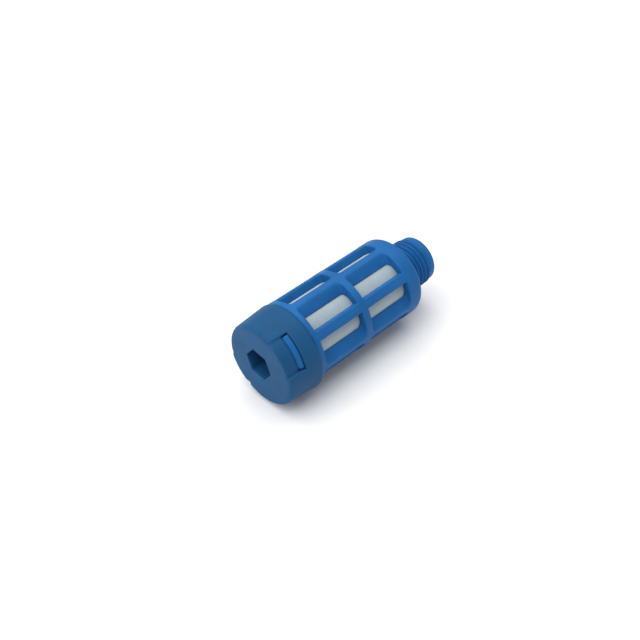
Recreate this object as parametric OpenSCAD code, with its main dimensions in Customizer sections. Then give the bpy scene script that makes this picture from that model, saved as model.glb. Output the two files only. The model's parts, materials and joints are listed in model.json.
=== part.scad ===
// Pneumatic muffler: a screw-in exhaust silencer in three moulded pieces.
//
// Every piece is drawn upright, with its axis on local Z: the sealing shoulder is the plane
// Z = 0, the port thread is below it and the end cap is at the top. Local X is the direction
// in which the cage's mould opens. lay_down() then turns the whole muffler onto its side.
// Origin: the centre of the sealing shoulder. +X points out of the thread, into the port.

/* [Port thread] */
// Outside diameter of the thread crests, G 1/4
thread_d = 13.157; // [13.0:0.001:13.157]
// Diameter at the thread roots
thread_root_d = 11.445; // [11.3:0.005:11.7]
// Distance from one crest to the next, 19 per inch
thread_pitch = 1.337; // [1.2:0.001:1.4]
// Length from the sealing shoulder to the tip of the nipple
nipple_length = 10; // [9.5:0.5:14]
// Length of the plain band at the tip that starts the thread straight
lead_length = 2.1; // [1.5:0.1:2.5]
// Diameter of the air bore through the nipple
bore_d = 8; // [6:0.5:8.5]

/* [Cage] */
// Outside diameter of the cage
cage_d = 21.4; // [21:0.1:22]
// Radial thickness of the cage wall and of its ribs
cage_wall = 2.1; // [1.9:0.05:2.2]
// Rounding of the edge between the sealing shoulder and the cage
shoulder_round = 1.3; // [0.5:0.1:1.6]
// Depth of the relief in the shoulder, around the base of the thread
relief_depth = 0.4; // [0.2:0.1:0.8]
// Thickness of the floor between the shoulder and the filter
floor_thickness = 3; // [2.5:0.1:4]
// Distance from the shoulder to the first row of windows
window_start = 4.7; // [4.4:0.1:6]
// Length of each window
window_length = 13.8; // [10:0.1:14.5]
// Width of the ring between the two rows of windows
ring_width = 2.1; // [1.5:0.1:3]
// Width of the collar between the windows and the cap
collar_width = 1.7; // [1.5:0.1:2.5]
// Rounding of the window corners
window_round = 1; // [0.5:0.1:1.5]

/* [Cap] */
// Greatest outside diameter of the cap's skirt
cap_d = 22.8; // [22.6:0.1:23.4]
// How far the cap's outside is set off its bore, which leaves one flank flush with the cage
cap_offset = 0.5; // [0:0.1:0.5]
// Height from the collar of the cage to the flat face of the cap
cap_height = 9.8; // [9.5:0.1:11]
// Narrowing of the cap's radius from the skirt to the face
cap_taper = 0.65; // [0.3:0.05:0.8]
// Rounding between the cap's face and its side
cap_face_round = 1; // [0.8:0.1:1.6]
// Width across the flats of the hexagon socket
hex_flats = 7.3; // [6.5:0.1:7.5]
// Depth of the hexagon socket
hex_depth = 6; // [4:0.1:6.4]

/* [Snap catch] */
// Angle that each of the two slots in the cap spans
slot_angle = 51; // [40:1:56]
// Length of each slot along the axis
slot_length = 1.7; // [1.5:0.1:2]

/* [Filter] */
// Radial thickness of the porous filter tube
filter_wall = 2.4; // [2:0.1:2.6]
// Radial play between the filter tube and its seats
filter_play = 0.1; // [0.05:0.01:0.15]

/* [Hidden] */
$fn = 96;

CAGE_BLUE = [0.05, 0.30, 0.68];
CAP_BLUE = [0.13, 0.35, 0.56];
FILTER_WHITE = [0.86, 0.88, 0.87];

OVERLAP = 0.02;         // how far a cutter runs past the face it opens
FAR = 30;               // longer than anything the cutters have to clear
RIB_TURN = 38;          // angle from the mould direction to the rib laid uppermost
HEX_TURN = 43;          // angle from the mould direction to a corner of the socket

// Radii, from the cage inwards to the hub that centres the filter
cage_r = cage_d / 2;
cage_bore_r = cage_r - cage_wall;
filter_r = cage_bore_r - filter_play;
filter_bore_r = filter_r - filter_wall;
hub_r = filter_bore_r - filter_play;
bore_r = bore_d / 2;
root_r = thread_root_d / 2;
crest_r = thread_d / 2;

// The neck of the cage that the cap's skirt slides over
neck_step = 0.95;
neck_play = 0.1;
neck_r = cage_r - neck_step;
skirt_bore_r = neck_r + neck_play;
recess_r = skirt_bore_r + 0.45;

// Heights above the sealing shoulder
skirt_gap = 0.1;
cap_thickness = 3.5;
hub_floor = 1.5;
window_end = window_start + 2 * window_length + ring_width;
collar_top = window_end + collar_width;
cap_base = collar_top + skirt_gap;
cap_top = collar_top + cap_height;
seat_z = cap_top - cap_thickness;     // where the cap rests on the neck and on the filter
slot_z = seat_z - slot_length;
hub_length = hex_depth - cap_thickness + hub_floor;

// ---- Shared shapes ----

// Places a copy on each side of the mould's opening direction, on the two parting lines
module at_parting_lines() {
    for (side = [90, 270])
        rotate([0, 0, side])
            children();
}

// A slice of a ring, centred on local X, with the given 2D section
module ring_slice(angle) {
    rotate([0, 0, -angle / 2])
        rotate_extrude(angle = angle)
            children();
}

// ---- Threaded cage ----

// One thread crest, as a 2D section beside the axis
module crest_section() {
    crest_flat = 0.3;
    ridge_width = 1.15;
    polygon([
        [bore_r + 1, -ridge_width / 2],
        [root_r, -ridge_width / 2],
        [crest_r, -crest_flat / 2],
        [crest_r, crest_flat / 2],
        [root_r, ridge_width / 2],
        [bore_r + 1, ridge_width / 2]
    ]);
}

// The plain band that starts the nipple in the port, as a 2D section beside the axis
module lead_section() {
    lead_r = root_r + 0.5;
    chamfer = 0.5;
    polygon([
        [bore_r + 1, 0],
        [lead_r - chamfer, 0],
        [lead_r, chamfer],
        [lead_r, lead_length - chamfer],
        [root_r, lead_length],
        [bore_r + 1, lead_length]
    ]);
}

// The hollow nipple, its thread drawn as a stack of rings
module nipple() {
    runout = 0.6;
    crest_count = floor((nipple_length - lead_length - runout) / thread_pitch);
    translate([0, 0, -nipple_length]) {
        cylinder(h = nipple_length + OVERLAP, r = root_r);
        rotate_extrude()
            lead_section();
        for (i = [0 : crest_count - 1])
            translate([0, 0, lead_length + (i + 0.5) * thread_pitch])
                rotate_extrude()
                    crest_section();
    }
}

// Half section of the cage's barrel, with its rounded edge at the sealing shoulder
module barrel_section() {
    translate([0, shoulder_round])
        square([cage_r, collar_top - shoulder_round]);
    square([cage_r - shoulder_round, collar_top]);
    translate([cage_r - shoulder_round, shoulder_round])
        circle(shoulder_round);
}

// The relief around the base of the thread, so that a port's edge can seat on the flat shoulder
module thread_relief() {
    relief_play = 0.3;
    translate([0, 0, -OVERLAP])
        difference() {
            cylinder(h = relief_depth + OVERLAP, r = crest_r + relief_play);
            cylinder(h = relief_depth + OVERLAP, r = root_r);
        }
}

// The catch that snaps into the cap: flat below, with a lead-in slope on top
module catch() {
    end_play = 2;
    flank_play = 0.12;
    slope_height = 0.8;
    root = cage_bore_r + 0.3;
    ring_slice(slot_angle - 2 * end_play)
        polygon([
            [root, slot_z + flank_play],
            [cage_r, slot_z + flank_play],
            [cage_r, seat_z - slope_height],
            [neck_r, seat_z],
            [root, seat_z]
        ]);
}

// The space for the filter, with a lip on the floor that centres it
module filter_pocket() {
    lip_height = 1.6;
    translate([0, 0, floor_thickness])
        difference() {
            cylinder(h = seat_z, r = cage_bore_r);
            translate([0, 0, -OVERLAP])
                cylinder(h = lip_height + OVERLAP, r = hub_r);
        }
}

// A window's outline, across the mould direction and along the axis
module window_outline(from, to) {
    width = to - from;
    translate([from, 0]) {
        translate([window_round, 0])
            square([width - 2 * window_round, window_length]);
        translate([0, window_round])
            square([width, window_length - 2 * window_round]);
        for (across = [window_round, width - window_round])
            for (along = [window_round, window_length - window_round])
                translate([across, along])
                    circle(window_round);
    }
}

// One window, cut along the mould direction from a plane at the given depth outwards
module window_cut(from, to, depth) {
    translate([depth, 0, 0])
        rotate([90, 0, 90])
            linear_extrude(FAR)
                window_outline(from, to);
}

// One row of windows, two to each quarter of the cage, between ribs at 0, 38 and 90 degrees
module window_row() {
    mid_rib_flank = 1.05;
    side_rib_inner = 5.75;
    side_rib_outer = 7.36;
    parting_rib_flank = 1.28;
    for (opening_side = [0, 1])
        for (parting_side = [0, 1])
            mirror([opening_side, 0, 0])
                mirror([0, parting_side, 0]) {
                    window_cut(mid_rib_flank, side_rib_inner, cage_r / 2);
                    window_cut(side_rib_outer, FAR, parting_rib_flank);
                }
}

module threaded_cage() {
    color(CAGE_BLUE)
        difference() {
            union() {
                nipple();
                rotate_extrude()
                    barrel_section();
                cylinder(h = seat_z, r = neck_r);
                at_parting_lines()
                    catch();
            }
            translate([0, 0, -nipple_length - OVERLAP])
                cylinder(h = nipple_length + FAR, r = bore_r);
            thread_relief();
            filter_pocket();
            for (row = [0, 1])
                translate([0, 0, window_start + row * (window_length + ring_width)])
                    window_row();
        }
}

// ---- Filter tube ----

module filter_tube() {
    color(FILTER_WHITE)
        translate([0, 0, floor_thickness])
            difference() {
                cylinder(h = seat_z - floor_thickness, r = filter_r);
                translate([0, 0, -OVERLAP])
                    cylinder(h = seat_z, r = filter_bore_r);
            }
}

// ---- End cap ----

// Half section of the cap's outside: a tapered side that is tangent to a rounding at each end
module cap_section() {
    rear_round = 0.5;
    rear = [cap_d / 2 - rear_round, cap_base + rear_round];
    front = [cap_d / 2 - cap_taper - cap_face_round, cap_top - cap_face_round];
    run = front - rear;
    lean = atan2(run[1], run[0]) - acos((rear_round - cap_face_round) / norm(run));
    outward = [cos(lean), sin(lean)];
    polygon([
        [0, cap_base],
        [rear[0], cap_base],
        rear + rear_round * outward,
        front + cap_face_round * outward,
        [front[0], cap_top],
        [0, cap_top]
    ]);
    translate(rear)
        circle(rear_round);
    translate(front)
        circle(cap_face_round);
}

// The most that the skirt may stand out: on the axis, and rounded in towards the cage at the rear
module skirt_limit() {
    limit_round = 1.3;
    limit_step = 0.25;
    rear_r = cage_r + limit_step;
    translate([0, 0, cap_base])
        rotate_extrude() {
            square([rear_r, FAR]);
            translate([0, limit_round])
                square([rear_r + limit_round, FAR]);
            translate([rear_r, limit_round])
                circle(limit_round);
        }
}

// The recess that runs from the face to the slot, and the slot that the catch shows in
module slot_cut() {
    ring_slice(slot_angle) {
        translate([recess_r, slot_z])
            square([FAR, FAR]);
        translate([skirt_bore_r - OVERLAP, slot_z])
            square([FAR, slot_length]);
    }
}

// A shallow scallop in the rear edge of the skirt that guides the cap over the parting line
module entry_scallop() {
    scallop_r = 3.5;
    scallop_depth = 0.3;
    translate([skirt_bore_r - 1, 0, cap_base + scallop_depth - scallop_r])
        rotate([0, 90, 0])
            cylinder(h = FAR, r = scallop_r);
}

// The cap's shell: its outside, less the bore, the two slots and the two scallops
module cap_shell() {
    difference() {
        intersection() {
            translate([-cap_offset, 0, 0])
                rotate_extrude()
                    cap_section();
            skirt_limit();
        }
        translate([0, 0, collar_top])
            cylinder(h = seat_z - collar_top, r = skirt_bore_r);
        at_parting_lines() {
            slot_cut();
            entry_scallop();
        }
    }
}

module end_cap() {
    color(CAP_BLUE)
        difference() {
            union() {
                cap_shell();
                translate([0, 0, seat_z - hub_length])
                    cylinder(h = hub_length + OVERLAP, r = hub_r);
            }
            translate([0, 0, cap_top - hex_depth])
                rotate([0, 0, HEX_TURN])
                    cylinder(h = hex_depth + OVERLAP, d = hex_flats / cos(30), $fn = 6);
        }
}

// Turns an upright piece onto its side, thread towards +X, with a side rib uppermost
module lay_down() {
    rotate([0, -90, 0])
        rotate([0, 0, RIB_TURN])
            children();
}

lay_down() threaded_cage();
lay_down() filter_tube();
lay_down() end_cap();
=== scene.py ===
"""The looks of a pneumatic muffler: a threaded cage, the porous filter tube in it and the clipped cap.

Each piece is written as a distance field, in millimetres, in an upright frame of its own: the
sealing shoulder is the plane z = 0, the cap is at the top, and x is the direction in which the
cage's mould opens. A fine mesh of the field's surface is then laid on its side, into the frame.
"""

import json
import math

import bpy
import numpy as np
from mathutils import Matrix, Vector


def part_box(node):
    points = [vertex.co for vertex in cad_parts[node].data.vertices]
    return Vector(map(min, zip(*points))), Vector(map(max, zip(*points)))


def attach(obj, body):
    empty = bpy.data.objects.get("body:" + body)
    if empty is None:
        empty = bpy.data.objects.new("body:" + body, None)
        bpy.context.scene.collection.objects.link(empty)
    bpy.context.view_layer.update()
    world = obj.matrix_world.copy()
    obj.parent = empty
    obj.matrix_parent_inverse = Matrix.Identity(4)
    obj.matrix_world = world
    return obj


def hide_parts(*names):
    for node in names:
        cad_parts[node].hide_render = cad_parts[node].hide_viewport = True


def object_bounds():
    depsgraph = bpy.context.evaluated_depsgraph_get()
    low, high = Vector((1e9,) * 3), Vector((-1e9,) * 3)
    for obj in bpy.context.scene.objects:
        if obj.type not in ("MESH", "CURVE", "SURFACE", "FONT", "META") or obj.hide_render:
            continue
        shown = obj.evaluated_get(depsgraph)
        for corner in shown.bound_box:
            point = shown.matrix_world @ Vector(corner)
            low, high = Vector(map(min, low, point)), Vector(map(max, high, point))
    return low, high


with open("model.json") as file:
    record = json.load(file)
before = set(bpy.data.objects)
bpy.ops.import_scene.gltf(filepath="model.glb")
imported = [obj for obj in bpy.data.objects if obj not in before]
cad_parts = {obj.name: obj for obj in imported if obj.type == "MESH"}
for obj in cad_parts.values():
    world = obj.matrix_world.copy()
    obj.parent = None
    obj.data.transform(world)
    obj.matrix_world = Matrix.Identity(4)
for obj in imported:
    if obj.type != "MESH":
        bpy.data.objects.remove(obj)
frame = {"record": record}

import openvdb
from mathutils import Matrix, Vector

CAD_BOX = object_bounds()
MM = 0.001

# ---- Sizes that the frame gives ----


def span(node):
    """Heights at which a node starts and ends on the axis, in mm above the sealing shoulder."""
    low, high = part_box(node)
    return round(-high.x / MM, 2), round(-low.x / MM, 2)


def radius(node):
    """Outside radius of a node, in mm, without the small error of its flat facets."""
    low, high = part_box(node)
    return round((high.y - low.y) / 2 / MM, 1)


def mount_radius(name):
    """Radius of one of the record's mounts, in mm."""
    mounts = {mount["name"]: mount for mount in frame["record"]["mounts"]}
    return mounts[name]["dims"]["r_mm"]


def cap_offset():
    """How far the middle of the cap's outside is from the axis, in mm."""
    low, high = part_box("end_cap")
    middle = (low + high) / 2
    return round(math.hypot(middle.y, middle.z) / MM, 2)


NIPPLE_TIP, SEAT = span("threaded_cage")
FLOOR_TOP = span("filter_tube")[0]
CAP_BASE, CAP_TOP = span("end_cap")
CAGE_R = radius("threaded_cage")
FILTER_R = radius("filter_tube")
CAP_R = radius("end_cap")
CAP_OFFSET = cap_offset()
CREST_R = mount_radius("port_thread")
BORE_R = mount_radius("air_inlet")

# ---- Sizes in mm that complete them ----

RIB_TURN = math.radians(38)     # from the mould direction to the rib laid uppermost
PLAY = 0.1                      # between the pieces

# The thread has the standard form of a parallel pipe thread, which follows from its pitch.
PITCH = 1.337
FLANK = math.radians(27.5)      # half the angle of the thread's groove
TIP_ROUND = 0.1373 * PITCH      # rounding of the thread's crests and roots
THREAD_DEPTH = 0.6403 * PITCH
CREST_PHASE = -3.04             # height of a crest in the plane y = 0, on the side of +x
THREAD_RISE = (NIPPLE_TIP + 1.7, NIPPLE_TIP + 2.4)  # where it comes up from the lead band
THREAD_RUNOUT = (-0.5, -1.1)    # where it comes up from its root, below the shoulder
LEAD_R = CREST_R - 0.34         # the plain band at the nipple's tip
RELIEF_DEPTH = 0.4              # the shallow relief in the shoulder, around the thread
RELIEF_PLAY = 0.3

WALL = 2.1                      # of the cage
CAGE_BORE_R = CAGE_R - WALL
SHOULDER_ROUND = 1.3
LIP_HEIGHT = 1.6                # the lip on the floor, which centres the filter
NECK_R = CAGE_R - 0.95
COLLAR_TOP = CAP_BASE - PLAY
COLLAR_WIDTH = 1.7
RING_WIDTH = 2.1
WINDOW_LENGTH = 13.8
WINDOW_ROUND = 1.0
MID_RIB = 1.05                  # half the width of the rib in the mould direction
SIDE_RIB = (5.75, 7.36)         # the two flanks of a side rib, across the mould direction
PARTING_RIB = 1.28              # half the width of the rib on the parting line
WINDOW_DEPTH = CAGE_R / 2       # the windows are cut from here outwards
RIB_EDGE = 0.28                 # rounding of the outer edges of ribs and windows
INNER_RIB_EDGE = 0.06           # rounding of the edges that touch the filter

CAP_TAPER = 0.65
CAP_FACE_ROUND = 1.0
CAP_REAR_ROUND = 0.5
SKIRT_LIMIT_R = CAGE_R + 1.55   # about the axis; the offset outside reaches it on one flank
SKIRT_LIMIT_ROUND = 1.3
SKIRT_BORE_R = NECK_R + PLAY
RECESS_R = SKIRT_BORE_R + 0.45
RECESS_FLANK_ROUND = 0.5
SLOT_LENGTH = 1.7
SLOT_BASE = SEAT - SLOT_LENGTH
SLOT_HALF_ANGLE = math.radians(25.5)
CATCH_HALF_ANGLE = math.radians(23.5)
SCALLOP_R = 3.5                 # the two shallow scallops in the skirt's rear edge
SCALLOP_DEPTH = 0.3
HUB_LENGTH = 4.0
HEX_APOTHEM = 3.65
HEX_DEPTH = 6.0
HEX_FLAT = math.radians(13)     # from the mould direction to the first flat of the socket
FILTER_WALL = 2.4
HUB_R = FILTER_R - FILTER_WALL - PLAY

# ---- Distance fields: below 0 inside the solid, above 0 outside it ----


def soft_max(a, b, rounding):
    """Where both solids are, with the edge between them rounded."""
    over_a = np.maximum(a + rounding, 0)
    over_b = np.maximum(b + rounding, 0)
    return np.minimum(-rounding, np.maximum(a, b)) + np.sqrt(over_a ** 2 + over_b ** 2)


def soft_min(a, b, rounding):
    """Where either solid is, with a fillet between them."""
    return -soft_max(-a, -b, rounding)


def cut(solid, tool, rounding):
    """The solid without the tool, with a rounded edge."""
    return soft_max(solid, -tool, rounding)


def blend_step(value, start, end):
    """0 before start, 1 after end and a smooth rise between them."""
    share = np.clip((value - start) / (end - start), 0, 1)
    return share * share * (3 - 2 * share)


def parting_wedge(x, y, half_angle):
    """The two sectors of the given half angle about the parting lines."""
    return np.abs(x) * math.cos(half_angle) - np.abs(y) * math.sin(half_angle)


def thread_radius(x, y, z):
    """Radius of the nipple's surface: a right-hand thread with round crests and roots."""
    pitch_radius = CREST_R - THREAD_DEPTH / 2
    round_centre = THREAD_DEPTH / 2 - TIP_ROUND
    round_end = TIP_ROUND * math.cos(FLANK)
    turns = np.arctan2(y, x) / (2 * math.pi)
    along = (z - CREST_PHASE) / PITCH - turns
    from_crest = np.abs(along - np.round(along)) * PITCH
    side = PITCH / 4 - from_crest
    from_tip = PITCH / 4 - np.abs(side)
    tip = round_centre + np.sqrt(np.maximum(TIP_ROUND ** 2 - from_tip ** 2, 0))
    height = np.where(from_tip < round_end, tip, np.abs(side) / math.tan(FLANK))
    thread = pitch_radius + np.sign(side) * height
    thread = LEAD_R + (thread - LEAD_R) * blend_step(z, *THREAD_RISE)
    root = CREST_R - THREAD_DEPTH
    return root + (thread - root) * blend_step(z, *THREAD_RUNOUT)


def nipple_field(x, y, z, rho):
    """The threaded nipple, up to inside the floor of the cage."""
    flank_scale = 0.55           # brings the field near a true distance on the thread's flanks
    tip_edge = 0.45
    side = (rho - thread_radius(x, y, z)) * flank_scale
    nipple = soft_max(side, NIPPLE_TIP - z, tip_edge)
    return np.maximum(nipple, z - FLOOR_TOP / 2)


def window_field(x, y, z):
    """All the windows, folded into one quarter of the cage and one row."""
    across, depth = np.abs(y), np.abs(x)
    rows_end = COLLAR_TOP - COLLAR_WIDTH
    rows_middle = rows_end - WINDOW_LENGTH - RING_WIDTH / 2
    from_ring = np.abs(z - rows_middle) - RING_WIDTH / 2
    end = np.abs(from_ring - WINDOW_LENGTH / 2) - WINDOW_LENGTH / 2
    mid_side = np.maximum(MID_RIB - across, across - SIDE_RIB[0])
    mid_window = np.maximum(soft_max(mid_side, end, WINDOW_ROUND), WINDOW_DEPTH - depth)
    edge_window = soft_max(SIDE_RIB[1] - across, end, WINDOW_ROUND)
    edge_window = np.maximum(edge_window, PARTING_RIB - depth)
    return np.minimum(mid_window, edge_window)


def catch_field(x, y, z, rho):
    """The two catches on the neck: flat below, with a lead-in slope on top."""
    slope_height = 0.8
    edge = 0.12
    reach = CAGE_R - NECK_R
    steepness = math.hypot(slope_height, reach)
    slope_start = SEAT - slope_height
    slope = ((rho - CAGE_R) * slope_height + (z - slope_start) * reach) / steepness
    catch = soft_max(rho - CAGE_R, slope, edge)
    catch = soft_max(catch, SLOT_BASE + PLAY - z, edge)
    return soft_max(catch, parting_wedge(x, y, CATCH_HALF_ANGLE), edge)


def barrel_field(x, y, z, rho):
    """The cage's barrel and collar, filled in, and on them the neck with its catches."""
    collar_edge = 0.2
    neck_edge = 0.25
    neck_fillet = 0.15
    catch_fillet = 0.1
    barrel = soft_max(rho - CAGE_R, -z, SHOULDER_ROUND)
    barrel = soft_max(barrel, z - COLLAR_TOP, collar_edge)
    neck = soft_max(rho - NECK_R, z - SEAT, neck_edge)
    neck = np.maximum(neck, FLOOR_TOP - z)
    barrel = soft_min(barrel, neck, neck_fillet)
    return soft_min(barrel, catch_field(x, y, z, rho), catch_fillet)


def pocket_field(z, rho):
    """The room for the filter inside the cage, around the lip on the floor."""
    lip_edge = 0.25
    lip_fillet = 0.1
    lip_top = FLOOR_TOP + LIP_HEIGHT
    lip = soft_max(rho - HUB_R, z - lip_top, lip_edge)
    return cut(np.maximum(rho - CAGE_BORE_R, FLOOR_TOP - z), lip, lip_fillet)


def rib_rounding(rho):
    """Rounding of the windows' edges: large on the outside, small against the filter."""
    margin = 0.5
    outer_edges = blend_step(rho, CAGE_BORE_R + margin, CAGE_R - margin)
    return INNER_RIB_EDGE + (RIB_EDGE - INNER_RIB_EDGE) * outer_edges


def cage_field(x, y, z):
    """The threaded cage."""
    relief_edge = 0.15
    nipple_fillet = 0.12
    pocket_edge = 0.15
    bore_edge = 0.3
    rho = np.sqrt(x * x + y * y)
    relief = np.maximum(rho - CREST_R - RELIEF_PLAY, z - RELIEF_DEPTH)
    cage = cut(barrel_field(x, y, z, rho), relief, relief_edge)
    cage = soft_min(cage, nipple_field(x, y, z, rho), nipple_fillet)
    cage = cut(cage, pocket_field(z, rho), pocket_edge)
    cage = cut(cage, rho - BORE_R, bore_edge)
    return cut(cage, window_field(x, y, z), rib_rounding(rho))


def filter_field(x, y, z):
    """The porous tube, which fills the space between the cage's floor and the cap's face."""
    end_edge = 0.3
    rho = np.sqrt(x * x + y * y)
    middle = FILTER_R - FILTER_WALL / 2
    half_length = (SEAT - FLOOR_TOP) / 2
    wall = np.abs(rho - middle) - FILTER_WALL / 2
    ends = np.abs(z - FLOOR_TOP - half_length) - half_length
    return soft_max(wall, ends, end_edge)


def cap_side(x, y, z, rho):
    """The cap's tapered side and the two recesses in it, whose flanks roll over into it."""
    limit_blend = 0.1
    floor_edge = 0.15
    roll_height = 1.2            # from a recess's floor to where its flanks are fully rounded
    taper_start = CAP_BASE + CAP_REAR_ROUND
    taper_end = CAP_TOP - CAP_FACE_ROUND
    lean = math.atan2(CAP_TAPER, taper_end - taper_start)
    side_rho = np.sqrt((x + CAP_OFFSET) ** 2 + y * y)
    side = (side_rho - CAP_R) * math.cos(lean) + (z - taper_start) * math.sin(lean)
    limit = soft_max(rho - SKIRT_LIMIT_R, CAP_BASE - z, SKIRT_LIMIT_ROUND)
    side = soft_max(side, limit, limit_blend)
    recess = np.maximum(RECESS_R - rho, SLOT_BASE - z)
    recess = np.maximum(recess, parting_wedge(x, y, SLOT_HALF_ANGLE))
    rolled = blend_step(z, SLOT_BASE, SLOT_BASE + roll_height)
    return cut(side, recess, floor_edge + (RECESS_FLANK_ROUND - floor_edge) * rolled)


def cap_outside(x, y, z, rho):
    """The cap's side, face and rear edge; the face is rounded off everywhere but at the recesses."""
    recess_edge = 0.25
    fade_start, fade_end = -1.2, 0.1    # from inside a recess's flank to just outside it
    beside_recess = blend_step(parting_wedge(x, y, SLOT_HALF_ANGLE), fade_start, fade_end)
    face_round = recess_edge + (CAP_FACE_ROUND - recess_edge) * beside_recess
    outside = soft_max(cap_side(x, y, z, rho), z - CAP_TOP, face_round)
    return soft_max(outside, CAP_BASE - z, CAP_REAR_ROUND)


def slot_field(x, y, z, rho):
    """The two slots, which the cage's catches show in."""
    slot = np.maximum(SKIRT_BORE_R - PLAY - rho, np.maximum(SLOT_BASE - z, z - SEAT))
    return np.maximum(slot, parting_wedge(x, y, SLOT_HALF_ANGLE))


def scallop_field(x, z):
    """The two shallow scallops in the skirt's rear edge, on the parting lines."""
    middle = CAP_BASE + SCALLOP_DEPTH - SCALLOP_R
    return np.sqrt(x * x + (z - middle) ** 2) - SCALLOP_R


def hub_field(z, rho):
    """The hub behind the cap's face, which closes the filter and centres it."""
    tip_edge = 0.4
    overlap = 1                  # into the face
    hub = soft_max(rho - HUB_R, SEAT - HUB_LENGTH - z, tip_edge)
    return np.maximum(hub, z - SEAT - overlap)


def socket_field(x, y, z):
    """The hexagon socket in the cap's face."""
    socket = CAP_TOP - HEX_DEPTH - z
    for flat in range(3):
        angle = HEX_FLAT + flat * math.pi / 3
        across = np.abs(x * math.cos(angle) + y * math.sin(angle))
        socket = np.maximum(socket, across - HEX_APOTHEM)
    return socket


def cap_field(x, y, z):
    """The clipped cap."""
    skirt_edge = 0.15
    scallop_edge = 0.2
    hub_fillet = 0.2
    socket_edge = 0.12
    rho = np.sqrt(x * x + y * y)
    bore = np.maximum(rho - SKIRT_BORE_R, z - SEAT)
    cap = cut(cap_outside(x, y, z, rho), bore, skirt_edge)
    cap = cut(cap, slot_field(x, y, z, rho), skirt_edge)
    cap = cut(cap, scallop_field(x, z), scallop_edge)
    cap = soft_min(cap, hub_field(z, rho), hub_fillet)
    return cut(cap, socket_field(x, y, z), socket_edge)


# ---- Meshes of the fields ----


def sample(field, low, counts, voxel):
    """The field's values on a grid of points, worked out a few layers at a time."""
    layers = 24
    x, y, z = (low[i] + voxel * np.arange(counts[i], dtype=np.float32) for i in range(3))
    values = np.empty(counts, np.float32)
    for start in range(0, counts[2], layers):
        some = slice(start, start + layers)
        values[:, :, some] = field(x[:, None, None], y[None, :, None], z[None, None, some])
    return values


def gradient(field, points):
    """The field's slope at each point."""
    reach = 0.02
    slope = np.empty_like(points)
    for axis in range(3):
        step = np.zeros(3)
        step[axis] = reach
        ahead = field(*(points + step).T)
        behind = field(*(points - step).T)
        slope[:, axis] = (ahead - behind) / (2 * reach)
    return slope


def settle(field, points, voxel):
    """Moves points near the field's surface onto it, half a voxel at most in each round."""
    rounds = 4
    least_steepness = 0.05       # keeps the division in bounds where the field is nearly flat
    least_length = 1e-9          # the same for points that are on the surface already
    for _ in range(rounds):
        slope = gradient(field, points)
        steepness = np.maximum((slope ** 2).sum(1), least_steepness)
        move = slope * (field(*points.T) / steepness)[:, None]
        length = np.maximum(np.sqrt((move ** 2).sum(1)), least_length)
        points = points - move * np.minimum(1, voxel / 2 / length)[:, None]
    return points


def surface(field, half_width, bottom, top, voxel):
    """Points and faces of the field's surface, in mm, in the upright frame."""
    flat_merging = 0.15          # how readily faces on flat places are joined into larger ones
    margin = 4 * voxel
    low = np.array([-half_width, -half_width, bottom]) - margin
    high = np.array([half_width, half_width, top]) + margin
    counts = tuple(int(n) for n in np.ceil((high - low) / voxel) + 1)
    values = sample(field, low, counts, voxel)
    band = 3 * voxel
    grid = openvdb.FloatGrid(band)
    grid.copyFromArray(np.clip(values, -band, band))
    points, triangles, quads = grid.convertToPolygons(isovalue=0.0, adaptivity=flat_merging)
    points = points.astype(float) * voxel + low
    return settle(field, points, voxel), triangles, quads


def lay_down(points):
    """From millimetres in the upright frame to metres in the frame of the row."""
    turn_sin, turn_cos = math.sin(RIB_TURN), math.cos(RIB_TURN)
    x, y, z = points.T
    return np.stack([-z, x * turn_sin + y * turn_cos, x * turn_cos - y * turn_sin], 1) * MM


def enclosed_volume(points, triangles, quads):
    """The volume inside the faces: above 0 if they face outwards."""
    halves = [triangles, quads[:, [0, 1, 2]], quads[:, [0, 2, 3]]]
    a, b, c = (points[np.concatenate(halves)[:, i]] for i in range(3))
    return (a * np.cross(b, c)).sum() / 6


def laid_surface(field, half_width, bottom, top, voxel):
    """Points and faces of a field's surface, laid down, with the faces turned outwards."""
    coarse = 1
    points, triangles, quads = surface(field, half_width, bottom, top, voxel * coarse)
    points = lay_down(points)
    if enclosed_volume(points, triangles, quads) < 0:
        triangles, quads = triangles[:, ::-1], quads[:, ::-1]
    return points.tolist(), triangles.tolist() + quads.tolist()


def build(name, node, material, points, faces):
    """One piece of the muffler, which stands for the CAD node of the same shape."""
    mesh = bpy.data.meshes.new(name)
    mesh.from_pydata(points, [], faces)
    mesh.validate()
    mesh.shade_smooth()
    mesh.materials.append(material)
    piece = bpy.data.objects.new(name, mesh)
    bpy.context.scene.collection.objects.link(piece)
    piece.modifiers.new("flat faces stay flat", "WEIGHTED_NORMAL")
    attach(piece, "root")
    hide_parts(node)


# ---- Materials ----


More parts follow.
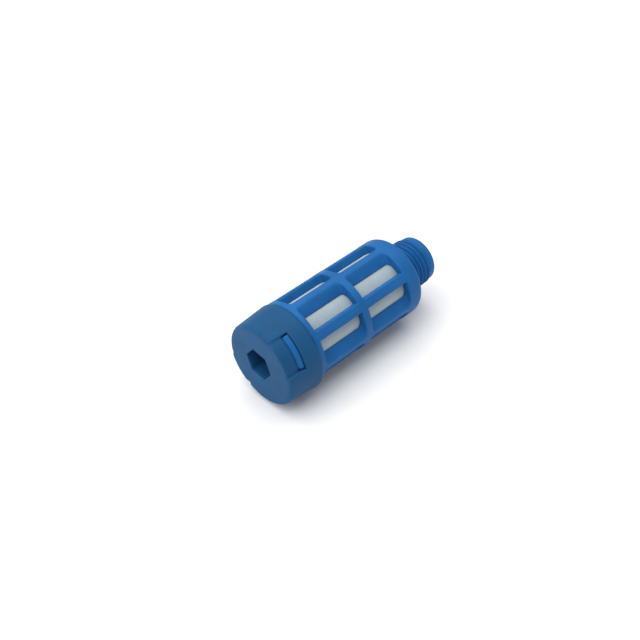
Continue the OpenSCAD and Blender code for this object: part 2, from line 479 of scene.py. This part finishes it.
class Shader:
    """Builds one procedural material from nodes that read the place on the object, in metres."""

    def __init__(self, name):
        self.material = bpy.data.materials.new(name)
        self.material.use_nodes = True
        self.nodes = self.material.node_tree.nodes
        self.links = self.material.node_tree.links
        self.principled = self.nodes["Principled BSDF"]
        self.place = self.nodes.new("ShaderNodeTexCoord").outputs["Object"]

    def wire(self, value, socket):
        """Sets a node's input, either to the output of another node or to a fixed value."""
        if isinstance(value, bpy.types.NodeSocket):
            self.links.new(value, socket)
        else:
            socket.default_value = value

    def noise(self, size, detail=2.0, roughness=0.5):
        """Cloudy noise whose features are about size metres across."""
        node = self.nodes.new("ShaderNodeTexNoise")
        self.wire(self.place, node.inputs["Vector"])
        node.inputs["Scale"].default_value = 1 / size
        node.inputs["Detail"].default_value = detail
        node.inputs["Roughness"].default_value = roughness
        return node.outputs["Fac"]

    def grains(self, size):
        """Distance from the middle of the nearest of many grains of the given size in metres."""
        node = self.nodes.new("ShaderNodeTexVoronoi")
        self.wire(self.place, node.inputs["Vector"])
        node.inputs["Scale"].default_value = 1 / size
        return node.outputs["Distance"]

    def math(self, operation, *values):
        """The result of an arithmetic operation on numbers or on the outputs of nodes."""
        node = self.nodes.new("ShaderNodeMath")
        node.operation = operation
        for value, socket in zip(values, node.inputs):
            self.wire(value, socket)
        return node.outputs[0]

    def scaled(self, value, low, high, to_low=0, to_high=1):
        """The value's range from low to high, stretched to another range and held at its ends."""
        node = self.nodes.new("ShaderNodeMapRange")
        for socket, item in zip(node.inputs, (value, low, high, to_low, to_high)):
            self.wire(item, socket)
        return node.outputs[0]

    def mix(self, share, first, second):
        """Two colours mixed."""
        node = self.nodes.new("ShaderNodeMix")
        node.data_type = "RGBA"
        self.wire(share, node.inputs["Factor"])
        self.wire(first, node.inputs["A"])
        self.wire(second, node.inputs["B"])
        return node.outputs["Result"]

    def bump(self, height, depth, below=None):
        """Relief from a 0 to 1 height, depth metres deep, on top of another relief."""
        node = self.nodes.new("ShaderNodeBump")
        node.inputs["Distance"].default_value = depth
        self.wire(height, node.inputs["Height"])
        if below is not None:
            self.wire(below, node.inputs["Normal"])
        return node.outputs["Normal"]

    def distance_from_origin(self):
        """How far a place is from the middle of the sealing shoulder, in metres."""
        length = self.nodes.new("ShaderNodeVectorMath")
        length.operation = "LENGTH"
        self.wire(self.place, length.inputs[0])
        return length.outputs["Value"]

    def parting_line(self, half_width):
        """1 on the plane between the two halves of the mould, falling to 0 beside it."""
        across = self.nodes.new("ShaderNodeVectorMath")
        across.operation = "DOT_PRODUCT"
        self.wire(self.place, across.inputs[0])
        across.inputs[1].default_value = (0, math.sin(RIB_TURN), math.cos(RIB_TURN))
        distance = self.math("ABSOLUTE", across.outputs["Value"])
        return self.scaled(distance, 0, half_width, 1, 0)

    def finish(self, colour, roughness, normal, specular=0.5):
        """Wires up the surface and hands over the finished material."""
        self.principled.inputs["Specular IOR Level"].default_value = specular
        self.wire(colour, self.principled.inputs["Base Color"])
        self.wire(roughness, self.principled.inputs["Roughness"])
        self.wire(normal, self.principled.inputs["Normal"])
        return self.material


def shade(colour, factor):
    """A lighter or darker tone of a colour, with full alpha."""
    return tuple(min(1.0, part * factor) for part in colour) + (1.0,)


def plastic_tone(shader, colour):
    """The colour of a moulded plastic: faint clouds, and fine specks that are lighter."""
    clouds = shader.scaled(shader.noise(6 * MM, detail=3), low=0.3, high=0.7)
    specks = shader.scaled(shader.noise(0.4 * MM, detail=2), low=0.62, high=0.75, to_high=0.25)
    darker, lighter, speck = (shade(colour, factor) for factor in (0.9, 1.1, 1.5))
    return shader.mix(specks, shader.mix(clouds, darker, lighter), speck)


def moulded_plastic(name, colour, roughness, seam):
    """Satin plastic: cloudy tone, fine grain from the mould and, on the cage, a parting line with a
    painted highlight.
    """
    shader = Shader(name)
    tone = plastic_tone(shader, colour)
    sheen = shader.scaled(shader.noise(3 * MM, detail=4), low=0.3, high=0.7,
                          to_low=roughness - 0.06, to_high=roughness + 0.08)
    relief = shader.bump(shader.noise(5 * MM, detail=1), depth=0.06 * MM)
    grain = shader.noise(0.22 * MM, detail=3, roughness=0.6)
    relief = shader.bump(grain, depth=0.012 * MM, below=relief)
    if seam:
        line = shader.parting_line(half_width=0.09 * MM)
        # painted highlight: a lighter tone along the parting line's thin ridge
        seam_highlight_share = shader.math("MULTIPLY", line, 0.3)
        tone = shader.mix(seam_highlight_share, tone, shade(colour, 1.6))
        relief = shader.bump(line, depth=0.05 * MM, below=relief)
    return shader.finish(tone, sheen, relief, specular=0.15)


def sintered_plastic(name, colour):
    """Porous plastic: fused grains, darker pores between them and a dull surface."""
    shader = Shader(name)
    grains = shader.grains(0.25 * MM)
    pores = shader.scaled(grains, low=0.45, high=0.8)
    stains = shader.scaled(shader.noise(4 * MM, detail=3), low=0.35, high=0.7)
    clean, stained, pore = (shade(colour, factor) for factor in (1.03, 0.93, 0.7))
    tone = shader.mix(stains, clean, stained)
    pore_share = shader.math("MULTIPLY", pores, 0.3)
    tone = shader.mix(pore_share, tone, pore)
    relief = shader.bump(shader.noise(1.2 * MM, detail=2), depth=0.04 * MM)
    bulge = shader.math("SUBTRACT", 1.0, grains)
    relief = shader.bump(bulge, depth=0.03 * MM, below=relief)
    return shader.finish(tone, roughness=0.85, normal=relief, specular=0.2)


def slot_colour(slot):
    """A material slot's base colour, from the record."""
    materials = {material["slot"]: material for material in frame["record"]["materials"]}
    return materials[slot]["base_color"]


# ---- The muffler ----


def add_cage():
    """The threaded cage, with its mould's parting line."""
    plastic = moulded_plastic(
        "cage_plastic", slot_colour("cage_plastic"), roughness=0.48, seam=True)
    points, faces = laid_surface(cage_field, CAGE_R, NIPPLE_TIP, SEAT, voxel=0.1)
    build("cage", "threaded_cage", plastic, points, faces)


def add_filter():
    """The porous filter tube."""
    plastic = sintered_plastic("porous_filter", slot_colour("porous_filter"))
    points, faces = laid_surface(filter_field, FILTER_R, FLOOR_TOP, SEAT, voxel=0.15)
    build("filter", "filter_tube", plastic, points, faces)


def add_cap():
    """The clipped cap."""
    plastic = moulded_plastic("cap_plastic", slot_colour("cap_plastic"), roughness=0.55, seam=False)
    points, faces = laid_surface(cap_field, CAP_R + CAP_OFFSET, CAP_BASE, CAP_TOP, voxel=0.1)
    build("cap", "end_cap", plastic, points, faces)


add_cage()
add_filter()
add_cap()

# ---- Floor, light and camera ----

WHITE = (1.0, 1.0, 1.0)
FLOOR_HALF = 3.0                          # half the floor's width, in metres
VIEW_AZIMUTH = math.radians(-42.66)
VIEW_ELEVATION = math.radians(41.35)
VIEW_ROLL = math.radians(-2.53)
VIEW_DISTANCE = 0.213                     # in metres, like the aim
VIEW_LENS = 48.24                         # focal length, in mm
AIM_RIGHT, AIM_UP = -0.00596, -0.00259    # the muffler is right of the picture's centre, and above


def pale_floor():
    """A wide pale floor that the muffler lies on; it glows far away, where the lamps don't reach."""
    level = CAD_BOX[0].z
    corners = [(-1, -1), (1, -1), (1, 1), (-1, 1)]
    mesh = bpy.data.meshes.new("floor")
    points = [(x * FLOOR_HALF, y * FLOOR_HALF, level) for x, y in corners]
    mesh.from_pydata(points, [], [(0, 1, 2, 3)])
    shader = Shader("floor")
    tone = shader.mix(shader.noise(50 * MM), shade(WHITE, 0.93), shade(WHITE, 0.95))
    relief = shader.bump(shader.noise(2 * MM), depth=0.01 * MM)
    mesh.materials.append(shader.finish(tone, roughness=0.9, normal=relief))
    glow = shader.scaled(shader.distance_from_origin(), low=0.25, high=1.2, to_high=0.9)
    shader.wire(shade(WHITE, 1), shader.principled.inputs["Emission Color"])
    shader.wire(glow, shader.principled.inputs["Emission Strength"])
    floor = bpy.data.objects.new("floor", mesh)
    bpy.context.scene.collection.objects.link(floor)


def soft_light(name, place, size, power):
    """A square white area light that faces the muffler's middle, placed from there."""
    light = bpy.data.lights.new(name, "AREA")
    light.size = size
    light.energy = power
    lamp = bpy.data.objects.new(name, light)
    centre = (CAD_BOX[0] + CAD_BOX[1]) / 2
    lamp.location = centre + Vector(place)
    lamp.rotation_euler = Vector(place).to_track_quat("Z", "Y").to_euler()
    bpy.context.scene.collection.objects.link(lamp)


def pale_world(strength):
    """Even light from all round, behind which the camera sees plain white."""
    world = bpy.data.worlds.new("studio")
    world.use_nodes = True
    background = world.node_tree.nodes["Background"]
    background.inputs["Color"].default_value = shade(WHITE, 1)
    seen = world.node_tree.nodes.new("ShaderNodeLightPath")
    brightness = world.node_tree.nodes.new("ShaderNodeMapRange")
    brightness.inputs["To Min"].default_value = strength
    world.node_tree.links.new(seen.outputs["Is Camera Ray"], brightness.inputs["Value"])
    world.node_tree.links.new(brightness.outputs["Result"], background.inputs["Strength"])
    bpy.context.scene.world = world


def photo_camera():
    """The camera, at the photograph's viewing angle."""
    back = Vector((
        math.sin(VIEW_AZIMUTH) * math.cos(VIEW_ELEVATION),
        -math.cos(VIEW_AZIMUTH) * math.cos(VIEW_ELEVATION),
        math.sin(VIEW_ELEVATION)))
    turn = back.to_track_quat("Z", "Y").to_matrix() @ Matrix.Rotation(VIEW_ROLL, 3, "Z")
    centre = (CAD_BOX[0] + CAD_BOX[1]) / 2
    camera = bpy.data.objects.new("camera", bpy.data.cameras.new("camera"))
    camera.data.lens = VIEW_LENS
    camera.data.clip_start = 0.01
    camera.data.clip_end = 20
    camera.rotation_euler = turn.to_euler()
    camera.location = centre + turn @ Vector((AIM_RIGHT, AIM_UP, VIEW_DISTANCE))
    bpy.context.scene.collection.objects.link(camera)
    bpy.context.scene.camera = camera


pale_floor()
soft_light("overhead", place=(0.0, 0.1, 0.5), size=0.8, power=3.9)
soft_light("window", place=(-0.45, 0.1, 0.3), size=0.35, power=0.9)
pale_world(strength=0.42)
photo_camera()
bpy.context.scene.view_settings.view_transform = "Standard"
